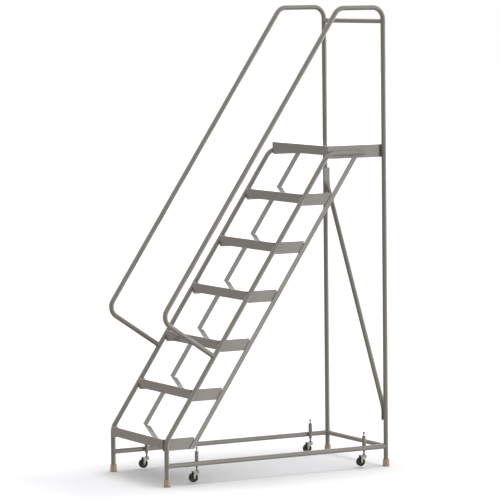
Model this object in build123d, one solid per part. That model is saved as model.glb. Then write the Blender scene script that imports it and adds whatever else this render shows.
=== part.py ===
from build123d import *
import os
from math import atan2, cos, sin

# Rolling warehouse ladder: six steps and a platform, tubular welded frame, four sprung casters.
# Millimetres, +Z up, floor at Z = 0. The origin is on the floor, midway between the four feet.
# +X is the climber's right-hand side, -Y is the side that is climbed, +Y is the rear.

os.makedirs("parts", exist_ok=True)

# ---- driving dimensions -------------------------------------------------------------------------
tube_od = 27.0              # every frame tube
tube_wall = 1.8
fit_gap = 0.1               # air left at coped and welded joints
half_track = 320.5          # side plane that holds legs, base rails, stringers and handrails
leg_spacing = 1359.0        # front leg to rear post
base_tube_z = 111.0         # centreline of the base rails and the rear base crossbar

step_rise = 254.0
step_run = 171.3
step_count = 6
step_front = -18.2          # front face of step 1, measured from the front leg
tread_depth = 190.5
platform_depth = 355.6
sheet = 2.0                 # pressed steel of steps and platform
side_skirt = 63.5
platform_skirt = 69.85      # the platform's side skirts are deeper than the steps'
front_skirt = 50.8
rear_lip = 25.0
sheet_bend = 3.5            # outside radius of the folded edges

leg_bend_z = 244.4          # where the vertical front leg turns into the inclined stringer
stringer_bend = 80.0
stringer_run_drop = 41.5    # centreline of the stringer's level run, below the platform
stringer_run_end = 1235.0   # rear end of that run, from the front leg

handrail_offset = 381.0     # handrail from stringer, square to the slope
handrail_z = 2524.0         # centreline of the level top
handrail_bend = 63.5
handrail_return_z = 678.0   # where the handrail's lower return meets the stringer
top_crossbar_z = 2449.0

bar_width = 25.4            # flat bar under the rear corners of the steps
bar_thickness = 4.8
bar_line = 25.4             # its centreline behind the front leg, carried down to the floor
bar_lap = 2.0               # its upper end laps the platform's skirt

brace_top_z = 1621.0        # tips of the brace's flattened ends
brace_foot_z = 256.0
brace_top_tab = 78.0        # length of each flattened end
brace_foot_tab = 52.0
tab_thickness = 4.4
tab_width = 38.0
tab_edge = 2.1              # rounding of its edges
flare_length = 62.0         # round tube to flat tab

foot_height = 40.0
foot_radius = 19.2
foot_neck_radius = 16.9
foot_sole = 6.0
foot_round = 1.2

caster_inset = {"front": 192.0, "rear": 127.0}   # stem from the nearest leg
housing_od = 21.0
housing_bore = 16.4
housing_base_z = 90.0
housing_top_z = 176.0
nose_length = 12.0
nose_od = 15.0
cap_thickness = 3.0
shank_d = 11.0              # lower stem
rod_d = 7.0                 # upper stem
rod_end = 1.5               # of the rod above its nut
rod_chamfer = 0.8
collar_d = 15.4
collar_z = 118.0
collar_height = 5.0
nut_base_z = 190.0
nut_flats = 11.1
nut_hex_height = 4.6
nut_height = 6.6
nut_collar_inset = 0.6
spring_wire = 1.8
spring_od = 14.6
spring_turns = 9
spring_end_gap = 0.1

wheel_d = 50.0
wheel_width = 20.0
wheel_shoulder = 4.0
wheel_clearance = 9.0       # wheels hang clear of the floor while the feet carry the ladder
hub_d = 15.0
web_d = 34.0                # recess in each side of the wheel, around the hub
web_depth = 3.0
trail = 22.0                # axle behind the stem's axis
axle_d = 6.4
axle_head_d = 9.6
axle_head = 2.0
yoke_sheet = 2.4
yoke_gap = 23.4             # between the yoke's cheeks
yoke_top_z = 69.0
cheek_front = -24.5         # cheek outline, from the stem's axis
cheek_rear = 8.5
cheek_depth = 9.0           # straight rear edge below the top plate
cheek_waist = (-8.0, 50.0)
boss_r = 6.0
race_od = 19.0
race_height = 2.0
race_round = 0.6
plate_gap = 0.3             # above and below the yoke's top plate
pivot_d = 8.0
rivet_d = 13.2
rivet_drop = 5.0            # pivot's foot below the top of the yoke
running_fit = 0.05          # radial, on each pin and shaft

# ---- derived places -----------------------------------------------------------------------------
tube_r = tube_od / 2
front_y = -leg_spacing / 2
rear_y = leg_spacing / 2
run_per_rise = step_run / step_rise
slope = atan2(step_rise, step_run)
along = (cos(slope), sin(slope))            # (y, z) up the slope
square = (-sin(slope), cos(slope))          # (y, z) square to it, up and forward
platform_z = step_rise * (step_count + 1)
skirt_gap = 2 * fit_gap                     # between a pan's skirt and the tube beside it
pan_half_width = half_track - tube_r - skirt_gap
stringer_run_z = platform_z - stringer_run_drop
axle_z = wheel_d / 2 + wheel_clearance
shoulder_z = yoke_top_z + plate_gap + race_height + fit_gap
upright = (Align.CENTER, Align.CENTER, Align.MIN)
across = (0, 90, 0)                         # turns a cylinder onto X
sides = {"left": -1, "right": 1}
ends = {"front": -1, "rear": 1}


def stringer_y(z):
    """Y of the front stringer's inclined centreline at height z."""
    return front_y + (z - leg_bend_z) * run_per_rise


def save(shape, name):
    """Write one named node."""
    shape.label = name
    export_step(shape, f"parts/{name}.step")


def rod(start, end, radius):
    """Solid round bar between two points."""
    axis = Vector(*end) - Vector(*start)
    plane = Plane(origin=start, z_dir=axis)
    return extrude(plane * Circle(radius), axis.length)


def post(foot_z, top_z, diameter):
    """Solid round bar on the Z axis between two heights."""
    return rod((0, 0, foot_z), (0, 0, top_z), diameter / 2)


def straight_tube(start, end):
    """Frame tube between two points, open at both ends."""
    axis = Vector(*end) - Vector(*start)
    plane = Plane(origin=start, z_dir=axis)
    ring = Circle(tube_r) - Circle(tube_r - tube_wall)
    return extrude(plane * ring, axis.length)


def bent_tube(points, radius):
    """Frame tube along straight runs joined by bends of one centreline radius."""
    path = FilletPolyline(*points, radius=radius)
    start = Plane(origin=path @ 0, z_dir=path % 0)
    ring = Circle(tube_r) - Circle(tube_r - tube_wall)
    return sweep(start * ring, path=path)


def upright_cutter(x, y):
    """Cylinder that copes another member against a leg or a post."""
    return rod((x, y, 0), (x, y, top_crossbar_z + tube_od), tube_r + fit_gap)


# ---- front stringers: leg, incline and level run under the platform in one bent tube ------------
def front_stringer(x):
    points = [
        (x, front_y, foot_sole),
        (x, front_y, leg_bend_z),
        (x, stringer_y(stringer_run_z), stringer_run_z),
        (x, front_y + stringer_run_end, stringer_run_z),
    ]
    return bent_tube(points, stringer_bend)


# ---- handrails: rear post, level top, incline and lower return in one bent tube -----------------
def handrail(x):
    return_y = stringer_y(handrail_return_z)
    corner_y = return_y + handrail_offset * square[0]
    corner_z = handrail_return_z + handrail_offset * square[1]
    top_corner_y = corner_y + (handrail_z - corner_z) * run_per_rise
    points = [
        (x, rear_y, foot_sole),
        (x, rear_y, handrail_z),
        (x, top_corner_y, handrail_z),
        (x, corner_y, corner_z),
        (x, return_y, handrail_return_z),
    ]
    reach = handrail_bend
    low = (x, return_y - reach * along[0], handrail_return_z - reach * along[1])
    high = (x, return_y + reach * along[0], handrail_return_z + reach * along[1])
    return bent_tube(points, handrail_bend) - rod(low, high, tube_r + fit_gap)


# ---- base frame and crossbars -------------------------------------------------------------------
def base_rail(x):
    tube = straight_tube((x, front_y, base_tube_z), (x, rear_y, base_tube_z))
    return tube - upright_cutter(x, front_y) - upright_cutter(x, rear_y)


def crossbar(z):
    """Tube across the two rear posts at height z."""
    tube = straight_tube((-half_track, rear_y, z), (half_track, rear_y, z))
    for side in sides.values():
        tube = tube - upright_cutter(side * half_track, rear_y)
    return tube


def base_crossbar():
    """Crossbar that is also coped clear of the base rails."""
    tube = crossbar(base_tube_z)
    for side in sides.values():
        x = side * half_track
        tube = tube - rod((x, front_y, base_tube_z), (x, rear_y, base_tube_z), tube_r + fit_gap)
    return tube


# ---- rear stringers: flat bars on the outside of the steps' skirts ------------------------------
def rear_stringer(side):
    foot_z = step_rise - side_skirt
    top_z = platform_z - platform_skirt + bar_lap
    half_level_width = bar_width / 2 / sin(slope)
    foot_y = front_y + bar_line + foot_z * run_per_rise
    top_y = front_y + bar_line + top_z * run_per_rise
    corners = [
        (foot_y - half_level_width, foot_z),
        (foot_y + half_level_width, foot_z),
        (top_y + half_level_width, top_z),
        (top_y - half_level_width, top_z),
    ]
    profile = Plane.YZ * make_face(Polyline(*corners, close=True))
    bar = Pos(half_track - tube_r, 0, 0) * extrude(profile, bar_thickness)
    return bar if side > 0 else mirror(bar, about=Plane.YZ)


# ---- diagonal brace between the rear posts: round tube with flattened, bent ends ----------------
def brace():
    tab_x = half_track - tube_r - fit_gap - tab_thickness / 2
    top_knee = Vector(-tab_x, rear_y, brace_top_z - brace_top_tab)
    foot_knee = Vector(tab_x, rear_y, brace_foot_z + brace_foot_tab)
    run = (foot_knee - top_knee).normalized()
    top_mouth = top_knee + run * flare_length
    foot_mouth = foot_knee - run * flare_length
    shape = straight_tube(tuple(top_mouth), tuple(foot_mouth))
    flat = RectangleRounded(tab_thickness, tab_width, tab_edge)
    for knee, mouth, inward, tab in (
        (top_knee, top_mouth, run, brace_top_tab),
        (foot_knee, foot_mouth, run * -1, -brace_foot_tab),
    ):
        flat_plane = Plane(origin=knee, x_dir=(1, 0, 0), z_dir=(0, 0, 1))
        round_plane = Plane(origin=mouth, x_dir=(inward.Z, 0, -inward.X), z_dir=inward)
        flare = loft([flat_plane * flat, round_plane * Circle(tube_r)])
        shape = shape + flare + extrude(flat_plane * flat, tab)
    return shape


# ---- steps and platform: one pressed pan each ---------------------------------------------------
def pan(front, depth, top_z, skirt):
    """Open-bottomed pan: top sheet, front skirt, deeper side skirts, short rear lip."""
    width = 2 * pan_half_width
    inner_width = width - 2 * sheet
    hung = (Align.CENTER, Align.MIN, Align.MAX)
    block = Box(width, depth, skirt, align=hung)
    folds = block.edges().group_by(Axis.Z)[-1]
    folds = folds + block.faces().sort_by(Axis.Y)[0].edges().filter_by(Axis.Z)
    block = fillet(folds, sheet_bend)
    round_r = skirt - front_skirt
    rounding = Pos(0, round_r, 0) * Rot(*across) * Cylinder(round_r, width)
    low_front = Box(width, round_r, round_r, align=hung) - rounding
    block = block - Pos(0, 0, -front_skirt) * low_front
    hollow = Box(inner_width, depth - 2 * sheet, skirt, align=hung)
    hollow = fillet(hollow.edges().group_by(Axis.Z)[-1], sheet_bend - sheet)
    mouth = Box(inner_width, depth, skirt, align=hung)
    shape = block - Pos(0, sheet, -sheet) * hollow
    shape = shape - Pos(0, -depth / 2, -front_skirt) * mouth
    shape = shape - Pos(0, depth / 2, -rear_lip) * mouth
    return Pos(0, front, top_z) * shape


# ---- rubber feet --------------------------------------------------------------------------------
def foot(x, y):
    """Tip pushed over the tube's end: tapered wall and a thick sole."""
    socket_r = tube_r + fit_gap
    profile = Polyline(
        (0, 0), (foot_radius, 0), (foot_neck_radius, foot_height),
        (socket_r, foot_height), (socket_r, foot_sole), (0, foot_sole), close=True,
    )
    tip = revolve(Plane.XZ * make_face(profile), Axis.Z)
    circles = tip.edges().filter_by(GeomType.CIRCLE)
    rims = circles.filter_by(lambda edge: edge.radius > socket_r + foot_round)
    return Pos(x, y, 0) * fillet(rims, foot_round)


# ---- sprung swivel casters ----------------------------------------------------------------------
def caster_housing():
    """Welded sleeve: closed top with a hole for the rod, nose that guides the shank."""
    bore_foot = housing_base_z + nose_length
    cap_z = housing_top_z - cap_thickness
    nose = Pos(0, 0, housing_base_z) * Cone(nose_od / 2, housing_od / 2, nose_length, align=upright)
    body = nose + post(bore_foot, housing_top_z, housing_od)
    body = body - post(bore_foot, cap_z, housing_bore)
    body = body - post(housing_base_z, bore_foot, shank_d + 2 * running_fit)
    return body - post(cap_z, housing_top_z, rod_d + 2 * running_fit)


def caster_stem():
    """Pivot through the yoke, shank, spring collar and threaded rod, turned in one piece."""
    foot_z = yoke_top_z - rivet_drop
    rivet = post(foot_z, yoke_top_z - yoke_sheet - plate_gap, rivet_d)
    pivot = post(foot_z, shoulder_z, pivot_d)
    shank = post(shoulder_z, collar_z, shank_d)
    collar = post(collar_z, collar_z + collar_height, collar_d)
    threaded = post(collar_z + collar_height, nut_base_z + nut_height + rod_end, rod_d)
    threaded = chamfer(threaded.edges().sort_by(Axis.Z)[-1], rod_chamfer)
    return rivet + pivot + shank + collar + threaded


def caster_nut():
    """Hexagonal lock nut on the rod, with its round collar."""
    hexagon = extrude(RegularPolygon(nut_flats / 2, 6, major_radius=False), nut_hex_height)
    collar = post(0, nut_height, nut_flats - 2 * nut_collar_inset)
    nut = hexagon + collar - post(0, nut_height, rod_d + 2 * running_fit)
    return Pos(0, 0, nut_base_z) * nut


def caster_spring():
    """Coil between the stem's collar and the housing's cap."""
    end_space = spring_wire / 2 + spring_end_gap
    foot_z = collar_z + collar_height + end_space
    height = housing_top_z - cap_thickness - end_space - foot_z
    path = Helix(pitch=height / spring_turns, height=height, radius=(spring_od - spring_wire) / 2)
    wire_plane = Plane(origin=path @ 0, z_dir=path % 0)
    return Pos(0, 0, foot_z) * sweep(wire_plane * Circle(spring_wire / 2), path=path)


def caster_race():
    """Swivel bearing washer between the shank's shoulder and the yoke."""
    ring = post(0, race_height, race_od)
    ring = fillet(ring.edges().filter_by(GeomType.CIRCLE), race_round)
    return Pos(0, 0, yoke_top_z + plate_gap) * (ring - post(0, race_height, pivot_d + 2 * running_fit))


def caster_yoke():
    """Pressed U: top plate on the pivot, two cheeks that narrow to the axle behind it."""
    rear_low = (cheek_rear, yoke_top_z - cheek_depth)
    boss_start = (-trail + boss_r, axle_z)
    boss_end = (-trail - boss_r, axle_z)
    outline = Polyline((cheek_front, yoke_top_z), (cheek_rear, yoke_top_z), rear_low)
    outline = outline + Spline(rear_low, cheek_waist, boss_start, tangents=[(0, -1), (0, -1)])
    outline = outline + ThreePointArc(boss_start, (-trail, axle_z - boss_r), boss_end)
    outline = outline + Line(boss_end, (cheek_front, yoke_top_z))
    width = yoke_gap + 2 * yoke_sheet
    solid = extrude(Plane.YZ * make_face(outline), width / 2, both=True)
    gap = Box(yoke_gap, 2 * wheel_d, yoke_top_z - yoke_sheet, align=upright)
    pin_hole = rod((-width, -trail, axle_z), (width, -trail, axle_z), axle_d / 2 + running_fit)
    return solid - gap - pin_hole - post(0, yoke_top_z, pivot_d + 2 * running_fit)


def caster_axle():
    """Axle pin with a head outside each cheek."""
    half = yoke_gap / 2 + yoke_sheet
    head = half + axle_head
    pin = rod((-half, -trail, axle_z), (half, -trail, axle_z), axle_d / 2)
    for side in sides.values():
        pin = pin + rod((side * half, -trail, axle_z), (side * head, -trail, axle_z), axle_head_d / 2)
    return pin


def caster_wheel():
    """Moulded wheel with rounded tread shoulders and a recessed web around its hub."""
    tyre = Cylinder(wheel_d / 2, wheel_width, rotation=across)
    tyre = fillet(tyre.edges().filter_by(GeomType.CIRCLE), wheel_shoulder)
    recess = Cylinder(web_d / 2, web_depth, rotation=across)
    recess = recess - Cylinder(hub_d / 2, web_depth, rotation=across)
    for side in sides.values():
        tyre = tyre - Pos(side * (wheel_width - web_depth) / 2, 0, 0) * recess
    hub = Cylinder(hub_d / 2, yoke_gap - 1.0, rotation=across)
    bore = Cylinder(axle_d / 2 + running_fit, yoke_gap, rotation=across)
    return Pos(0, -trail, axle_z) * (tyre + hub - bore)


# ---- the whole ladder ---------------------------------------------------------------------------
caster_makers = {
    "housing": caster_housing,
    "stem": caster_stem,
    "nut": caster_nut,
    "spring": caster_spring,
    "race": caster_race,
    "yoke": caster_yoke,
    "axle": caster_axle,
    "wheel": caster_wheel,
}
stem_x = half_track - tube_r - housing_od / 2 - fit_gap

for side_name, side in sides.items():
    side_x = side * half_track
    save(front_stringer(side_x), f"{side_name}_front_stringer")
    save(rear_stringer(side), f"{side_name}_rear_stringer")
    save(handrail(side_x), f"{side_name}_handrail")
    save(base_rail(side_x), f"{side_name}_base_rail")
    for end_name, end in ends.items():
        leg_y = end * leg_spacing / 2
        place = Pos(side * stem_x, leg_y - end * caster_inset[end_name], 0)
        save(foot(side_x, leg_y), f"{side_name}_{end_name}_foot")
        for piece, make in caster_makers.items():
            save(place * make(), f"{side_name}_{end_name}_caster_{piece}")

save(crossbar(top_crossbar_z), "top_crossbar")
save(base_crossbar(), "base_crossbar")
save(brace(), "diagonal_brace")

for number in range(step_count):
    front = front_y + step_front + number * step_run
    step_z = (number + 1) * step_rise
    save(pan(front, tread_depth, step_z, side_skirt), f"step_{number + 1}")
platform_y = front_y + step_front + step_count * step_run
save(pan(platform_y, platform_depth, platform_z, platform_skirt), "platform")
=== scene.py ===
from math import atan2, cos, pi, radians, sin

import bpy
import numpy as np
from mathutils import Matrix, Vector


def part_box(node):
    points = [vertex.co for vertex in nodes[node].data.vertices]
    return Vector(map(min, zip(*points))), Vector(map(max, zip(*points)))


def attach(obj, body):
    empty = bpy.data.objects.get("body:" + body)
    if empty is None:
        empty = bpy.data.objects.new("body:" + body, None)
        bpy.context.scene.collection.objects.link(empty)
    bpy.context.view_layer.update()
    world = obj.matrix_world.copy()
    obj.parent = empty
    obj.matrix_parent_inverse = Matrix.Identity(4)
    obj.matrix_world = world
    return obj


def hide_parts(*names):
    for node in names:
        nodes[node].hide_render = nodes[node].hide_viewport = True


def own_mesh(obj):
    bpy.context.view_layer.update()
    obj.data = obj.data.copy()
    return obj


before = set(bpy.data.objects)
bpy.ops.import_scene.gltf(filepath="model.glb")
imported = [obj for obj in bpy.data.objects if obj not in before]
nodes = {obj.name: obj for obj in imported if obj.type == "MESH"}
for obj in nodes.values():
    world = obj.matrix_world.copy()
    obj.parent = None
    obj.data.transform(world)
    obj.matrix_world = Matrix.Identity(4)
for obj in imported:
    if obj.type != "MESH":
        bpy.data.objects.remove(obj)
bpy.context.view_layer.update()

# ---- the welded frame's finish ------------------------------------------------------------------
# Welded steel tube, dipped and stove-enamelled in one gloss warm grey. The enamel flows out to a
# faint orange peel, keeps a thin film of dust on top, and is a little duller where hands rub it.
MM = 0.001
WARM_GREY = "#7F7C74"
DULL_GREY = "#76726C"
DUST = "#9A978F"


def linear(hex_colour):
    """sRGB hex to linear RGBA: each channel through the sRGB transfer curve."""
    s = np.array([int(hex_colour[i:i + 2], 16) for i in (1, 3, 5)]) / 255
    rgb = np.where(s <= 0.04045, s / 12.92, ((s + 0.055) / 1.055) ** 2.4)
    return (*[float(c) for c in rgb], 1.0)


def new_material(name):
    """Empty node material: returns it with its tree, its shader and object coordinates."""
    material = bpy.data.materials.new(name)
    material.use_nodes = True
    tree = material.node_tree
    shader = tree.nodes["Principled BSDF"]
    place = tree.nodes.new("ShaderNodeTexCoord").outputs["Object"]
    return material, tree, shader, place


def node(tree, kind, settings=None, **links):
    """Add one node: settings are its properties, links go by socket name to a value or an output."""
    made = tree.nodes.new("ShaderNode" + kind)
    for name, value in (settings or {}).items():
        setattr(made, name, value)
    for name, value in links.items():
        key = int(name[1:]) if name[0] == "i" and name[1:].isdigit() else name.replace("_", " ")
        if isinstance(value, bpy.types.NodeSocket):
            tree.links.new(value, made.inputs[key])
        else:
            made.inputs[key].default_value = value
    return made


def noise(tree, place, size, detail=2.0, roughness=0.5):
    """Noise whose blobs are about size metres across, 0 to 1."""
    made = node(tree, "TexNoise", Vector=place, Scale=1 / size, Detail=detail, Roughness=roughness)
    return made.outputs["Fac"]


def ramp(tree, value, low, high):
    """0 below low, 1 above high, smooth between."""
    made = node(tree, "MapRange", {"interpolation_type": "SMOOTHSTEP"}, Value=value,
                From_Min=low, From_Max=high)
    return made.outputs["Result"]


def mix(tree, share, first, second):
    """Colour mix: share 0 is first, 1 is second."""
    made = node(tree, "Mix", {"data_type": "RGBA"}, i0=share, i6=first, i7=second)
    return made.outputs[2]


def facing_up(tree):
    """1 on faces that look up, 0 on the others."""
    normal = tree.nodes.new("ShaderNodeNewGeometry").outputs["Normal"]
    up = node(tree, "SeparateXYZ", Vector=normal).outputs["Z"]
    return ramp(tree, up, 0.55, 0.98)


def set_gloss(shader, ior, coat, coat_roughness):
    shader.inputs["IOR"].default_value = ior
    shader.inputs["Coat Weight"].default_value = coat
    shader.inputs["Coat Roughness"].default_value = coat_roughness


def bump(tree, shader, height, depth):
    """Relief of depth metres."""
    made = node(tree, "Bump", Height=height, Distance=depth)
    tree.links.new(made.outputs["Normal"], shader.inputs["Normal"])


ORANGE_PEEL = 2.6 * MM
BLOTCH = 140 * MM
SPECK = 1.1 * MM


def enamel(name, scuffs):
    """Gloss stove enamel; scuffs adds the fine scratches and shoe rubs of a tread."""
    material, tree, shader, place = new_material(name)
    blotch = noise(tree, place, BLOTCH, 3.0)
    colour = mix(tree, ramp(tree, blotch, 0.35, 0.7), linear(WARM_GREY), linear(DULL_GREY))
    colour = mix(tree, 0.35, linear(WARM_GREY), colour)
    dust = node(tree, "Math", {"operation": "MULTIPLY"}, i0=facing_up(tree),
                i1=ramp(tree, noise(tree, place, SPECK, 4.0, 0.7), 0.48, 0.75)).outputs[0]
    dust = node(tree, "Math", {"operation": "MULTIPLY"}, i0=dust, i1=0.30).outputs[0]
    colour = mix(tree, dust, colour, linear(DUST))
    peel = noise(tree, place, ORANGE_PEEL, 1.5)
    gloss = node(tree, "MapRange", Value=blotch, From_Min=0.3, From_Max=0.7, To_Min=0.14, To_Max=0.22)
    rough = gloss.outputs["Result"]
    if scuffs:
        # long thin rubs, mostly front to back as a sole drags over the tread's edge
        lane = node(tree, "Mapping", Vector=place, Scale=(1 / (3 * MM), 1 / (55 * MM), 1 / (55 * MM)))
        lines = node(tree, "TexNoise", Vector=lane.outputs[0], Scale=1.0, Detail=5.0, Roughness=0.65)
        rubs = ramp(tree, lines.outputs["Fac"], 0.60, 0.70)
        wear = node(tree, "Math", {"operation": "MULTIPLY"}, i0=facing_up(tree), i1=rubs).outputs[0]
        wear = node(tree, "Math", {"operation": "MULTIPLY"}, i0=wear,
                    i1=ramp(tree, blotch, 0.40, 0.62)).outputs[0]
        rough = node(tree, "Math", {"operation": "MULTIPLY_ADD"}, i0=wear, i1=0.10, i2=rough).outputs[0]
        colour = mix(tree, node(tree, "Math", {"operation": "MULTIPLY"}, i0=wear, i1=0.25).outputs[0],
                     colour, linear(DUST))
    tree.links.new(colour, shader.inputs["Base Color"])
    tree.links.new(rough, shader.inputs["Roughness"])
    set_gloss(shader, 1.5, 1.0, 0.03 if scuffs else 0.08)
    bump(tree, shader, peel, (0.001 if scuffs else 0.008) * MM)
    return material


def paint(names, material):
    for name in names:
        nodes[name].data.materials.clear()
        nodes[name].data.materials.append(material)


SIDES = {"left": -1, "right": 1}
ENDS = {"front": -1, "rear": 1}
CORNERS = [(side, end) for side in SIDES for end in ENDS]

tube_enamel = enamel("tube_enamel", scuffs=False)
tread_enamel = enamel("tread_enamel", scuffs=True)
treads = [name for name in nodes if name.startswith("step_") or name == "platform"]
tubes = [f"{side}_{part}" for side in SIDES
         for part in ("front_stringer", "rear_stringer", "handrail", "base_rail")]
tubes += ["top_crossbar", "base_crossbar", "diagonal_brace"]
housings = [f"{side}_{end}_caster_housing" for side, end in CORNERS]
paint(tubes + housings, tube_enamel)
paint(treads, tread_enamel)

# ---- weld beads ---------------------------------------------------------------------------------
# The frame is arc welded before it is enamelled. A rippled bead runs round each coped tube joint,
# and short ones tie the treads, platform, flat bars, brace and caster housings to the tubes.
HALF_TRACK = 320.5 * MM
TUBE_R = 13.5 * MM
SKIRT_FACE = 306.8 * MM
FRONT_Y = -679.5 * MM
REAR_Y = 679.5 * MM
SLOPE = atan2(254.0, 171.3)
ALONG = np.array([0.0, cos(SLOPE), sin(SLOPE)])
SQUARE = np.array([0.0, -sin(SLOPE), cos(SLOPE)])
BEAD_R = 2.3 * MM
RIPPLE = 2.4 * MM
AROUND = 10


def stringer_point(x, z):
    """Centre of the inclined stringer at height z."""
    return np.array([x, FRONT_Y + (z - 244.4 * MM) / np.tan(SLOPE), z])


def swept(middle, tangent, aside, w, closed):
    """Grid of points P(s) + w(s) (n cos a + b sin a) and its faces: n is aside made square to the
    tangent t, b = t x n. An open sweep is capped."""
    tangent = tangent / np.linalg.norm(tangent, axis=1)[:, None]
    normal = aside - (aside * tangent).sum(axis=1)[:, None] * tangent
    normal /= np.linalg.norm(normal, axis=1)[:, None]
    a = np.linspace(0.0, 2 * pi, AROUND, endpoint=False)[:, None]
    offset = normal[:, None] * np.cos(a) + np.cross(tangent, normal)[:, None] * np.sin(a)
    points = (middle[:, None] + w[:, None, None] * offset).reshape(-1, 3)
    rings = len(middle)
    i = np.arange(rings if closed else rings - 1)[:, None]
    j = np.arange(AROUND)[None]
    after = (i + 1) % rings * AROUND
    beside = (j + 1) % AROUND
    i = i * AROUND
    faces = np.stack([i + j, i + beside, after + beside, after + j], -1).reshape(-1, 4).tolist()
    if not closed:
        faces += [list(range(AROUND))[::-1], list(range(len(points) - AROUND, len(points)))]
    return points, faces


def bead(path, closed):
    """Rippled bead along the path P(s): w = BEAD_R (1 + 0.12 sin(2 pi k s / L)), k ripples over the
    length L. An open bead's w falls off at its ends as sqrt(1 - u^4), u from -1 to 1."""
    s = np.concatenate([[0.0], np.cumsum(np.linalg.norm(np.diff(path, axis=0), axis=1))])
    ripples = max(3, round(s[-1] / RIPPLE))
    at = np.linspace(0.0, s[-1], 6 * ripples + 1)
    at = at[:-1] if closed else at
    middle = np.stack([np.interp(at, s, path[:, i]) for i in range(3)], 1)
    w = BEAD_R * (1 + 0.12 * np.sin(2 * pi * ripples * at / s[-1]))
    if closed:
        tangent = np.roll(middle, -1, axis=0) - np.roll(middle, 1, axis=0)
        return swept(middle, tangent, middle - middle.mean(axis=0), w, True)
    w = w * np.sqrt(1.02 - (2 * at / s[-1] - 1) ** 4)
    aside = np.tile([1.0, 0.0, 0.0], (len(at), 1))
    return swept(middle, np.gradient(middle, axis=0), aside, w, False)


def show(name, points, faces, material, body, slot):
    """Make a smooth piece from points and faces, riding on a body."""
    mesh = bpy.data.meshes.new(name)
    mesh.from_pydata(points.tolist(), [], faces)
    mesh.shade_smooth()
    mesh.materials.append(material)
    piece = bpy.data.objects.new(name, mesh)
    bpy.context.scene.collection.objects.link(piece)
    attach(piece, body)
    return piece


def weld(name, paths):
    """One piece made of a bead along each path; a path is closed if it ends where it starts."""
    beads = [bead(path, np.allclose(path[0], path[-1])) for path in paths]
    starts = np.cumsum([0] + [len(points) for points, faces in beads])
    points = np.concatenate([points for points, faces in beads])
    faces = [[int(start + v) for v in face] for start, (held, all_faces) in zip(starts, beads)
             for face in all_faces]
    show(name, points, faces, tube_enamel, "frame", "grey_enamel")


def saddle(joint, branch, main):
    """Round a tube along branch where it meets one along main, both of radius R, r = 0.99 R:
    joint + branch sqrt(R^2 - (r sin t)^2) + main r cos t + (branch x main) r sin t."""
    t = np.linspace(0.0, 2 * pi, 145)[:, None]
    branch, main = np.array(branch, float), np.array(main, float)
    r = 0.99 * TUBE_R
    reach = np.sqrt(TUBE_R ** 2 - (r * np.sin(t)) ** 2)
    return joint + branch * reach + main * r * np.cos(t) + np.cross(branch, main) * r * np.sin(t)


def straight(start, end):
    return start + (end - start) * np.linspace(0.0, 1.0, 2)[:, None]


UPRIGHT = (0.0, 0.0, 1.0)
RAIL_Z = 111.0 * MM
weld("base_frame_welds",
     [saddle(np.array([side * HALF_TRACK, y, RAIL_Z]), (0, toward, 0), UPRIGHT)
      for side in SIDES.values() for y, toward in ((FRONT_Y, 1), (REAR_Y, -1))]
     + [saddle(np.array([side * HALF_TRACK, REAR_Y, z]), (-side, 0, 0), UPRIGHT)
        for side in SIDES.values() for z in (RAIL_Z, 2449 * MM)])
weld("handrail_welds", [saddle(stringer_point(side * HALF_TRACK, 678 * MM), SQUARE, ALONG)
                        for side in SIDES.values()])

# The tread's skirts sit inside the stringers: one bead in the crevice above each tube and one
# below it. The first tread is held to the upright legs in the same way.
CREVICE = 7.3 * MM
crevice_x = SKIRT_FACE + 1.2 * MM
tread_paths = []
for side in SIDES.values():
    x = side * crevice_x
    for number in range(2, 7):
        top = 254 * MM * number
        above, below = SQUARE * CREVICE, SQUARE * -CREVICE
        tread_paths.append(straight(stringer_point(x, top - 22 * MM) + above,
                                    stringer_point(x, top - 9 * MM) + above))
        tread_paths.append(straight(stringer_point(x, top - 38 * MM) + below,
                                    stringer_point(x, top - 5 * MM) + below))
    for y in (FRONT_Y - CREVICE, FRONT_Y + CREVICE):
        tread_paths.append(straight(np.array([x, y, 196 * MM]), np.array([x, y, 218 * MM])))
weld("tread_welds", tread_paths)

# Stitches above and below the level run under the platform.
RUN_Z = 1736.5 * MM
weld("platform_welds",
     [straight(np.array([side * crevice_x, low, z]), np.array([side * crevice_x, low + 45 * MM, z]))
      for side in SIDES.values() for low in (378 * MM, 500 * MM)
      for z in (RUN_Z - CREVICE, RUN_Z + CREVICE)])

# Down the front edge of each flat bar, where it crosses a tread's skirt.
bar_edge = np.array([0.0, (25.4 - 15.3) * MM + 244.4 * MM / np.tan(SLOPE), 0.0])
weld("flat_bar_welds",
     [straight(stringer_point(side * (SKIRT_FACE + 0.8 * MM), top - 59 * MM) + bar_edge,
               stringer_point(side * (SKIRT_FACE + 0.8 * MM), top - 18 * MM) + bar_edge)
      for side in SIDES.values() for top in 254 * MM * np.arange(1, 7)])

# Either side of the brace's flattened ends, against the posts.
TAB_FACE = 307.8 * MM
weld("brace_welds",
     [straight(np.array([x, y, low]), np.array([x, y, high]))
      for x, low, high in ((-TAB_FACE, 1556 * MM, 1616 * MM), (TAB_FACE, 260 * MM, 300 * MM))
      for y in (REAR_Y - 6.6 * MM, REAR_Y + 6.6 * MM)])


def tangent_loop(contact, outward, h):
    """Round the spot where an upright tube of radius h touches the rail of radius R, where the
    gap between them is g: y = sqrt(2 h g) cos t, z = sqrt(2 R g) sin t, midway across the gap."""
    t = np.linspace(0.0, 2 * pi, 97)
    gap = 2.4 * MM
    y = np.sqrt(2 * h * gap) * np.cos(t)
    z = np.sqrt(2 * TUBE_R * gap) * np.sin(t)
    x = outward * (y ** 2 / h - z ** 2 / TUBE_R) / 4
    return contact + np.stack([x, y, z], 1)


HOUSING_R = 10.5 * MM


def housing_middle(side, end):
    """Where the caster housing's axis stands on the floor plan."""
    low, high = (np.array(corner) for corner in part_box(f"{side}_{end}_caster_housing"))
    return [float(v) for v in (low + high)[:2] / 2]


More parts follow.
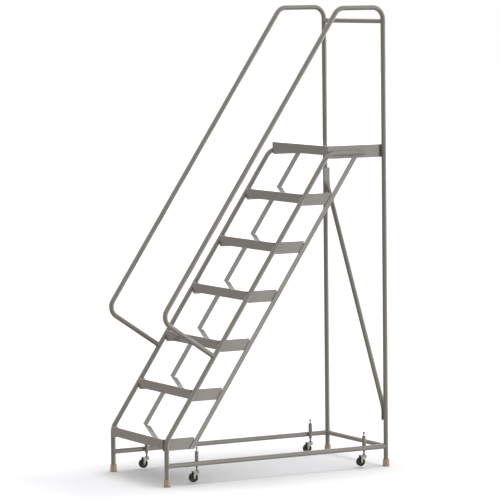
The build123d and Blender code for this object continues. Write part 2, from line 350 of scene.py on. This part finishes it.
caster_paths = []
for side, end in CORNERS:
    x, y = housing_middle(side, end)
    rail_x = SIDES[side] * HALF_TRACK
    outward = 1 if x > rail_x else -1
    contact = np.array([rail_x + outward * TUBE_R, y, RAIL_Z])
    caster_paths.append(tangent_loop(contact, outward, HOUSING_R))
weld("caster_housing_welds", caster_paths)

# ---- rubber foot tips ---------------------------------------------------------------------------
# Natural tan rubber, moulded, pushed over the legs' ends. Matt, slightly mottled, and darker over the
# lowest 7 mm towards the sole.
TAN = "#B5A08A"
TAN_DARK = "#9F8973"
SOLE_DARK_TONE = "#5E4E40"
material, tree, shader, place = new_material("tan_moulded_rubber")
mottle = ramp(tree, noise(tree, place, 9 * MM, 4.0, 0.6), 0.35, 0.7)
height = node(tree, "SeparateXYZ", Vector=place).outputs["Z"]
# darker towards the bottom: the colour goes to the dark tone over the lowest 7 mm
low = node(tree, "MapRange", Value=height, From_Min=0.0, From_Max=7 * MM, To_Min=0.75, To_Max=0.0)
colour = mix(tree, mottle, linear(TAN), linear(TAN_DARK))
colour = mix(tree, low.outputs["Result"], colour, linear(SOLE_DARK_TONE))
tree.links.new(colour, shader.inputs["Base Color"])
shader.inputs["Roughness"].default_value = 0.55
set_gloss(shader, 1.52, 0.0, 0.1)
bump(tree, shader, noise(tree, place, 0.8 * MM, 3.0), 0.05 * MM)
paint([f"{side}_{end}_foot" for side, end in CORNERS], material)

# ---- bright parts of the casters ----------------------------------------------------------------
# Turned or pressed low-carbon steel, zinc plated: silvery, slightly yellow, finely satin. The
# spring is oiled music wire.
ZINC = "#99958C"
ZINC_DULL = "#78746C"
WIRE = "#66666A"


def plated(name, bright, dull, grain, roughness):
    """Bare or plated metal: cloudy between two tones, fine satin relief of grain metres."""
    material, tree, shader, place = new_material(name)
    cloud = ramp(tree, noise(tree, place, 6 * MM, 4.0, 0.6), 0.35, 0.7)
    tree.links.new(mix(tree, cloud, linear(bright), linear(dull)), shader.inputs["Base Color"])
    satin = node(tree, "MapRange", Value=cloud, To_Min=roughness, To_Max=roughness + 0.15)
    tree.links.new(satin.outputs["Result"], shader.inputs["Roughness"])
    shader.inputs["Metallic"].default_value = 1.0
    bump(tree, shader, noise(tree, place, grain, 2.0), 0.02 * MM)
    return material


zinc = plated("zinc_plated_steel", ZINC, ZINC_DULL, 0.5 * MM, 0.28)
wire = plated("oiled_spring_wire", WIRE, "#5B5B5E", 0.7 * MM, 0.30)
for piece in ("stem", "nut", "race", "yoke", "axle"):
    paint([f"{side}_{end}_caster_{piece}" for side, end in CORNERS], zinc)
paint([f"{side}_{end}_caster_spring" for side, end in CORNERS], wire)

# The spring stands on the stem's collar inside the housing and closes up under the cap as the wheel
# is pushed in. It is drawn as a fixed coil riding on the stem.
COLLAR_TOP = 123 * MM
CAP_FOOT = 173 * MM
COIL_R = 6.4 * MM
WIRE_R = 0.9 * MM
TURNS = 9


def coil(x, y):
    """Round wire along a helix, u from 0 to 1:
    P(u) = (x + R cos 2 pi n u, y + R sin 2 pi n u, z0 + h u)."""
    u = np.linspace(0.0, 1.0, 28 * TURNS + 1)
    turn = 2 * pi * TURNS * u
    low = COLLAR_TOP + WIRE_R + 0.1 * MM
    high = CAP_FOOT - WIRE_R - 0.1 * MM
    out = np.stack([np.cos(turn), np.sin(turn), 0 * u], 1)
    middle = COIL_R * out + np.stack([x + 0 * u, y + 0 * u, low + (high - low) * u], 1)
    pitch = (high - low) / (2 * pi * TURNS * COIL_R)
    tangent = np.stack([-np.sin(turn), np.cos(turn), pitch + 0 * u], 1)
    return swept(middle, tangent, out, np.full(len(u), WIRE_R), False)


for side, end in CORNERS:
    x, y = housing_middle(side, end)
    spring = show(f"{side}_{end}_coil_spring", *coil(x, y), wire, f"{side}_{end}_stem",
                  "spring_steel")
    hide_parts(f"{side}_{end}_caster_spring")
    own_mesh(spring)

# ---- wheels -------------------------------------------------------------------------------------
# Solid black rubber wheels, moulded in one with their webs: a soft sheen, greyer with floor dust on
# the tread.
BLACK = "#0D0D0D"
TREAD_DUST = "#232120"
material, tree, shader, place = new_material("black_moulded_rubber")
fleck = ramp(tree, noise(tree, place, 2.5 * MM, 5.0, 0.7), 0.45, 0.75)
tree.links.new(mix(tree, fleck, linear(BLACK), linear(TREAD_DUST)), shader.inputs["Base Color"])
shader.inputs["Roughness"].default_value = 0.45
set_gloss(shader, 1.45, 0.0, 0.1)
bump(tree, shader, noise(tree, place, 0.6 * MM, 3.0), 0.04 * MM)
paint([f"{side}_{end}_caster_wheel" for side, end in CORNERS], material)

# ---- floor, light and camera --------------------------------------------------------------------
# A pale studio floor, with a painted soft shadow about the base, under a broad white dome: brighter
# above and behind, so that the climbing side is in soft shade.
floor_mesh = bpy.data.meshes.new("studio_floor")
REACH = 60.0
floor_mesh.from_pydata([(-REACH, -REACH, 0), (REACH, -REACH, 0), (REACH, REACH, 0), (-REACH, REACH, 0)],
                       [], [(0, 1, 2, 3)])
floor = bpy.data.objects.new("studio_floor", floor_mesh)
bpy.context.scene.collection.objects.link(floor)
material, tree, shader, place = new_material("pale_floor_with_painted_shadow")
# painted shadow: the paper is painted greyer and cooler about the base as the ladder's soft shadow, and
# clears to white over about a metre
beyond = node(tree, "VectorMath", {"operation": "SUBTRACT"}, i0=place, i1=(0.0, -0.30, 0.0))
beyond = node(tree, "VectorMath", {"operation": "ABSOLUTE"}, i0=beyond.outputs[0])
beyond = node(tree, "VectorMath", {"operation": "SUBTRACT"}, i0=beyond.outputs[0], i1=(0.28, 0.80, 0.0))
beyond = node(tree, "VectorMath", {"operation": "MAXIMUM"}, i0=beyond.outputs[0], i1=(0.0, 0.0, 0.0))
beyond = node(tree, "VectorMath", {"operation": "LENGTH"}, i0=beyond.outputs[0]).outputs["Value"]
clear = node(tree, "MapRange", {"interpolation_type": "SMOOTHERSTEP"}, Value=beyond, From_Min=-0.25,
             From_Max=0.9).outputs["Result"]
# painted shadow: grey, cool #E5E7EA about the base, fading to near-white #FDFDFD further out
tree.links.new(mix(tree, clear, linear("#E5E7EA"), linear("#FDFDFD")), shader.inputs["Base Color"])
shader.inputs["Roughness"].default_value = 0.9
shader.inputs["Specular IOR Level"].default_value = 0.0
floor_mesh.materials.append(material)
floor.visible_diffuse = False
floor.visible_glossy = False

world = bpy.data.worlds.new("studio")
bpy.context.scene.world = world
world.use_nodes = True
tree = world.node_tree
backdrop = tree.nodes["Background"]
direction = tree.nodes.new("ShaderNodeTexCoord").outputs["Generated"]
# strength = a wall of light all along the rear side, over a dimmer room and a brighter ceiling
ROOM = 0.46
CEILING = 1.05
GROUND = 0.75
WALL = 1.35
axis = node(tree, "SeparateXYZ", Vector=direction)
height = axis.outputs["Z"]
level_direction = node(tree, "CombineXYZ", X=axis.outputs["X"], Y=axis.outputs["Y"]).outputs[0]
level_direction = node(tree, "VectorMath", {"operation": "NORMALIZE"}, i0=level_direction).outputs[0]
rearward = node(tree, "SeparateXYZ", Vector=level_direction).outputs["Y"]
wall = ramp(tree, rearward, 0.15, 0.50)
spread = node(tree, "Math", {"operation": "ABSOLUTE"}, i0=height).outputs[0]
spread = node(tree, "MapRange", {"interpolation_type": "SMOOTHSTEP"}, Value=spread, From_Min=0.15,
              From_Max=0.70, To_Min=WALL, To_Max=0.0).outputs["Result"]
wall = node(tree, "Math", {"operation": "MULTIPLY"}, i0=wall, i1=spread).outputs[0]
up_part = node(tree, "MapRange", Value=height, From_Min=0.0, From_Max=1.0, To_Min=ROOM,
               To_Max=CEILING).outputs["Result"]
down_part = node(tree, "MapRange", Value=height, From_Min=0.0, From_Max=-1.0, To_Min=0.0,
                 To_Max=GROUND - ROOM).outputs["Result"]
room = node(tree, "Math", {"operation": "ADD"}, i0=up_part, i1=down_part).outputs[0]
total = node(tree, "Math", {"operation": "ADD"}, i0=room, i1=wall).outputs[0]
warm = ramp(tree, height, -0.6, 0.1)
tint = mix(tree, warm, linear("#FFF1E7"), linear("#FFFBF9"))
tint = mix(tree, ramp(tree, rearward, -0.1, 0.5), tint, linear("#FFFFFF"))
tree.links.new(tint, backdrop.inputs["Color"])
tree.links.new(total, backdrop.inputs["Strength"])
plain = node(tree, "Background", Color=linear("#FFFFFF"), Strength=1.0)
seen = tree.nodes.new("ShaderNodeLightPath").outputs["Is Camera Ray"]
both = tree.nodes.new("ShaderNodeMixShader")
tree.links.new(seen, both.inputs[0])
tree.links.new(backdrop.outputs[0], both.inputs[1])
tree.links.new(plain.outputs[0], both.inputs[2])
tree.links.new(both.outputs[0], tree.nodes["World Output"].inputs["Surface"])

# The key light is a wide lamp overhead, a little behind the ladder. It gives the floor its soft
# shadow, and is kept out of the enamel's reflections.
key = bpy.data.lights.new("overhead_key", "SUN")
key.energy = 0.95
key.angle = radians(34)
key_object = bpy.data.objects.new("overhead_key", key)
key_object.rotation_euler = (radians(-16), radians(1), 0)
key_object.visible_glossy = False
bpy.context.scene.collection.objects.link(key_object)

CAMERA_PLACE = Vector((15.36782, -8.40756, 2.70520))
CAMERA_AZIMUTH = radians(61.2793)
CAMERA_ELEVATION = radians(4.8838)
CAMERA_ROLL = radians(-0.6297)
camera = bpy.data.cameras.new("camera")
camera.sensor_width = 36.0
camera.lens = 231.32
camera.clip_end = 200.0
back = Vector((sin(CAMERA_AZIMUTH) * cos(CAMERA_ELEVATION),
               -cos(CAMERA_AZIMUTH) * cos(CAMERA_ELEVATION), sin(CAMERA_ELEVATION)))
level = Vector((cos(CAMERA_AZIMUTH), sin(CAMERA_AZIMUTH), 0.0))
upward = back.cross(level)
right = level * cos(CAMERA_ROLL) + upward * sin(CAMERA_ROLL)
up = upward * cos(CAMERA_ROLL) - level * sin(CAMERA_ROLL)
camera_object = bpy.data.objects.new("camera", camera)
camera_object.matrix_world = Matrix.Translation(CAMERA_PLACE) @ Matrix(
    (right, up, back)).transposed().to_4x4()
bpy.context.scene.collection.objects.link(camera_object)
bpy.context.scene.camera = camera_object
bpy.context.scene.view_settings.view_transform = "Standard"
